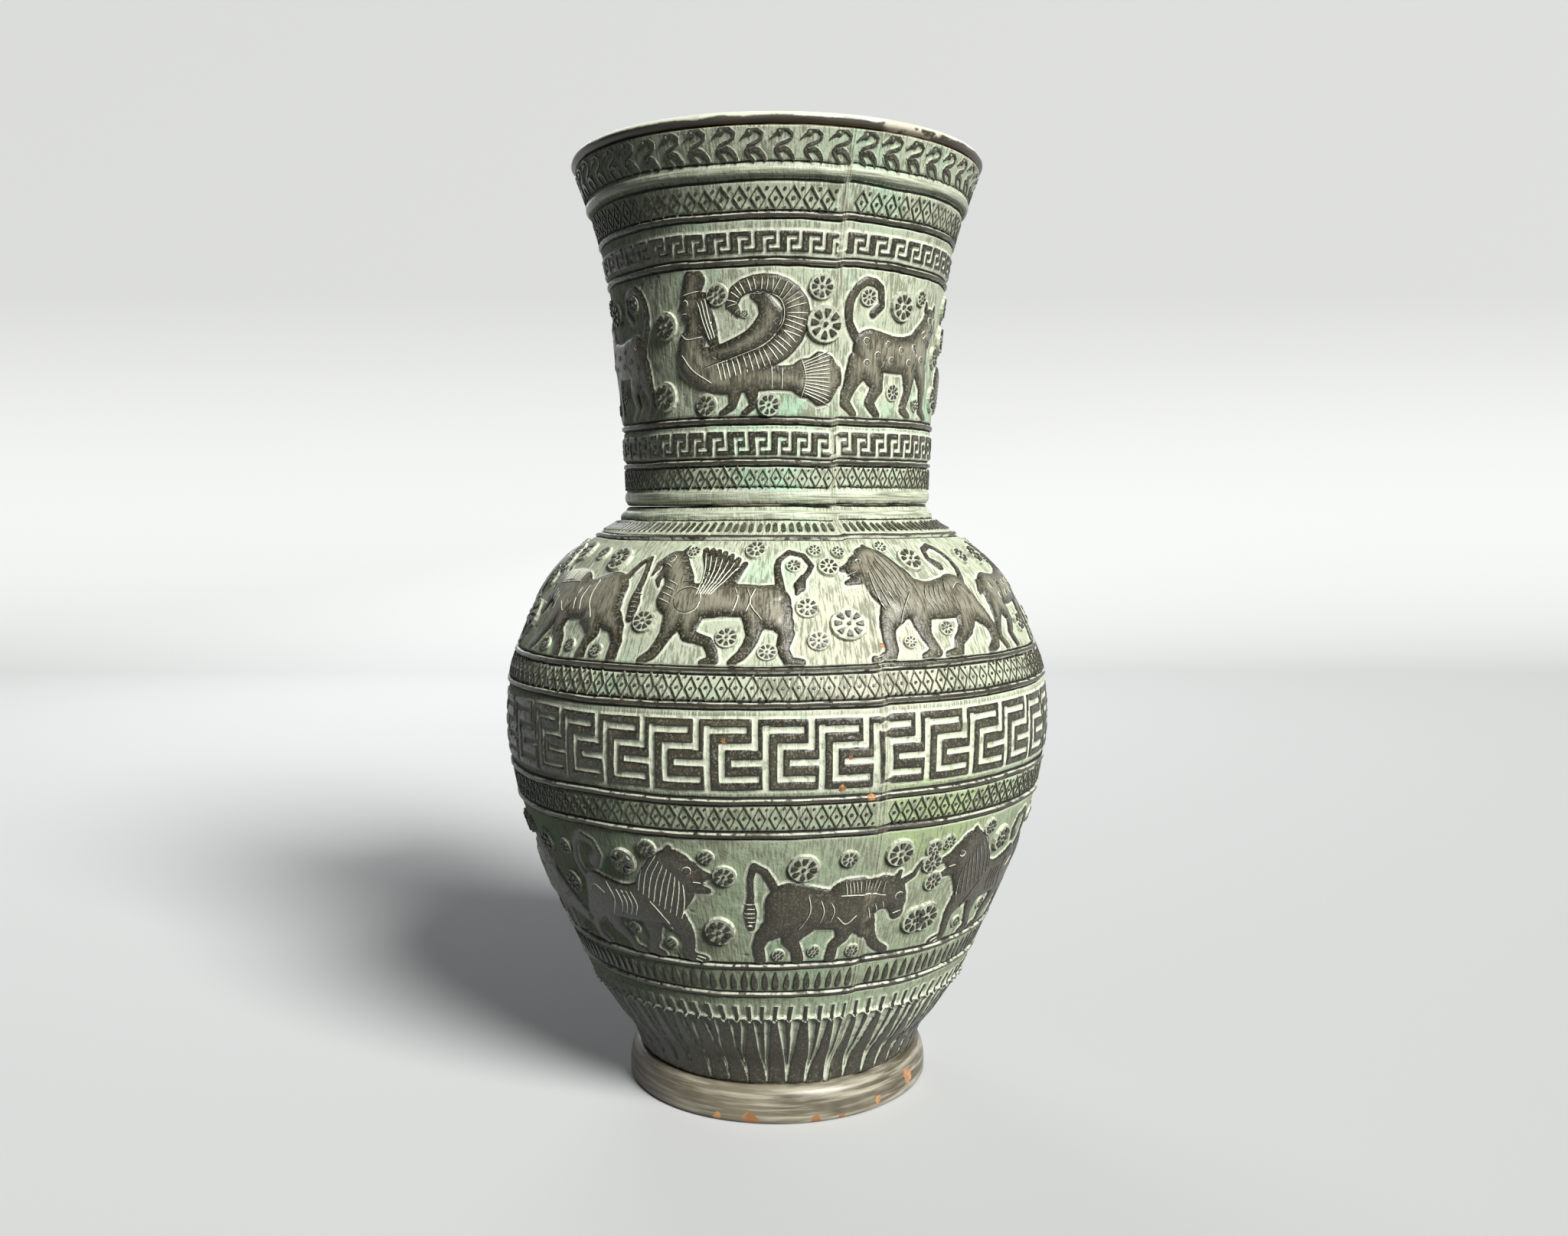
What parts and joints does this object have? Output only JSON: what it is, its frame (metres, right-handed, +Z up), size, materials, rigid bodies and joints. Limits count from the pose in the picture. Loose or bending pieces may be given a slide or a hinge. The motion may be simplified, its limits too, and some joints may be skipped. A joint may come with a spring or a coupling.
{
  "type": "terracotta vase",
  "caption": "Terracotta vase with a round belly, a wide flared neck, a turned lip and a ring foot, carved in bands and finished in dark bronze and verdigris.",
  "frame": {"origin": "bottom centre: on the vase's axis, on the surface that the foot stands on", "axes": "+Z up along the vase's axis from the foot to the mouth, -Y towards the front of the picture, +X to its right"},
  "size_m": [0.1781, 0.1781, 0.3],
  "materials": {
    "carved_clay": "dark bronze on the raised carving, matt verdigris in the hollows",
    "bronzed_clay": "smooth brown bronze, satin",
    "bare_clay": "bare fired terracotta, matt",
    "dried_slip": "fired clay slip, smeared flush, matt"
  },
  "bodies": {
    "root": {"foot_ring": "bronzed_clay", "foot_slip": "dried_slip", "floor_disc": "bare_clay", "floor_slip": "dried_slip", "body_front": "carved_clay", "body_back": "carved_clay", "body_seam_right": "dried_slip", "body_seam_left": "dried_slip", "collar_slip": "dried_slip", "neck_front": "carved_clay", "neck_back": "carved_clay", "neck_seam_right": "dried_slip", "neck_seam_left": "dried_slip", "lip_slip": "dried_slip", "lip_ring": "bronzed_clay"}
  },
  "joints": []
}
